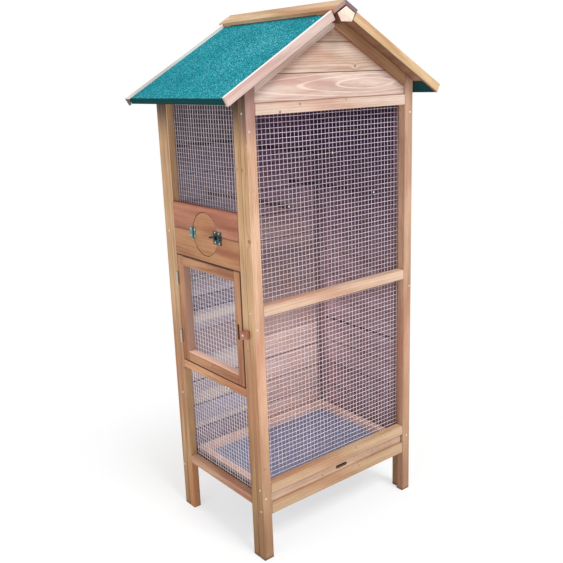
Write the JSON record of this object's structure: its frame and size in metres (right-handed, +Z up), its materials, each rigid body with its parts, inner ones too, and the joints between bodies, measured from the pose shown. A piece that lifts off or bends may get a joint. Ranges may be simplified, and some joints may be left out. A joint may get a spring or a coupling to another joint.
{
  "type": "bird cage",
  "caption": "Tall wooden bird cage on legs with wire mesh sides, a gable roof, a hinged access door, a round nest door and a slide-out tray.",
  "frame": {"origin": "on the ground, under the middle of the cage's overall box", "axes": "+Z up; +X to the right along the gable front; the front looks towards -Y; the access door is on the -X side"},
  "size_m": [0.7272, 0.486, 1.4315],
  "materials": {
    "fir": "stained softwood, satin",
    "red_fir": "softwood with a redder stain, satin",
    "pale_fir": "softwood with a paler stain, satin",
    "felt": "green roofing felt with mineral granules, matt",
    "wire": "galvanised welded wire",
    "zinc": "zinc-plated steel fittings",
    "sheet_zinc": "dull galvanised sheet"
  },
  "bodies": {
    "cage": {"front_left_post": "fir", "front_right_post": "fir", "back_left_post": "fir", "back_right_post": "fir", "left_front_stile": "fir", "left_back_stile": "fir", "right_front_stile": "fir", "right_back_stile": "fir", "front_lower_rail": "fir", "front_bottom_rail": "fir", "front_middle_rail": "fir", "front_top_rail": "fir", "left_bottom_rail": "fir", "left_middle_rail": "fir", "left_top_rail": "fir", "drawer_runner_frame": "fir", "back_wall_boards": "fir", "right_wall_boards": "fir", "nest_lower_board": "fir", "front_left_rafter": "fir", "front_right_rafter": "fir", "back_rafters": "fir", "ridge_left_cap": "fir", "ridge_right_cap": "fir", "nest_upper_board": "red_fir", "roof_left_board": "red_fir", "roof_right_board": "red_fir", "gable_lower_board": "pale_fir", "gable_middle_board": "pale_fir", "gable_top_board": "pale_fir", "front_left_bargeboard": "pale_fir", "front_right_bargeboard": "pale_fir", "back_left_bargeboard": "pale_fir", "back_right_bargeboard": "pale_fir", "ridge_beam": "pale_fir", "left_perch": "pale_fir", "right_perch": "pale_fir", "middle_perch": "pale_fir", "roof_felt": "felt", "front_mesh": "wire", "left_upper_mesh": "wire", "left_lower_mesh": "wire", "upper_hinge_frame_leaf": "zinc", "lower_hinge_frame_leaf": "zinc", "nest_hinge_frame_leaf": "zinc", "nest_bolt_keeper": "zinc"},
    "access_door": {"door_latch_stile": "fir", "door_hinge_stile": "fir", "door_bottom_rail": "fir", "door_top_rail": "fir", "door_mesh": "wire", "upper_hinge_door_leaf": "zinc", "lower_hinge_door_leaf": "zinc"},
    "nest_door": {"nest_door": "fir", "nest_hinge_door_leaf": "zinc", "nest_bolt_plate": "zinc"},
    "bolt": {"nest_bolt": "zinc"},
    "drawer": {"drawer_frame": "fir", "drawer_sheet": "sheet_zinc"},
    "turn_button": {"door_turn_button": "red_fir"}
  },
  "joints": [
    {"name": "access_door_hinge", "type": "hinge", "parent": "cage", "child": "access_door", "pos_m": [-0.2875, 0.1498, 0.6405], "axis": [0, 0, -1], "range_deg": [0, 165]},
    {"name": "nest_door_hinge", "type": "hinge", "parent": "cage", "child": "nest_door", "pos_m": [-0.2868, 0.05675, 0.8678], "axis": [0, 0, -1], "range_deg": [0, 150]},
    {"name": "nest_bolt_slide", "type": "slide", "parent": "nest_door", "child": "bolt", "axis": [0, -1, 0], "range_m": [0, 0.0085]},
    {"name": "drawer_slide", "type": "slide", "parent": "cage", "child": "drawer", "axis": [0, -1, 0], "range_m": [0, 0.3]},
    {"name": "turn_button_pivot", "type": "hinge", "parent": "cage", "child": "turn_button", "pos_m": [-0.29, -0.162, 0.6355], "axis": [-1, 0, 0], "range_deg": [0, 167.4]}
  ]
}
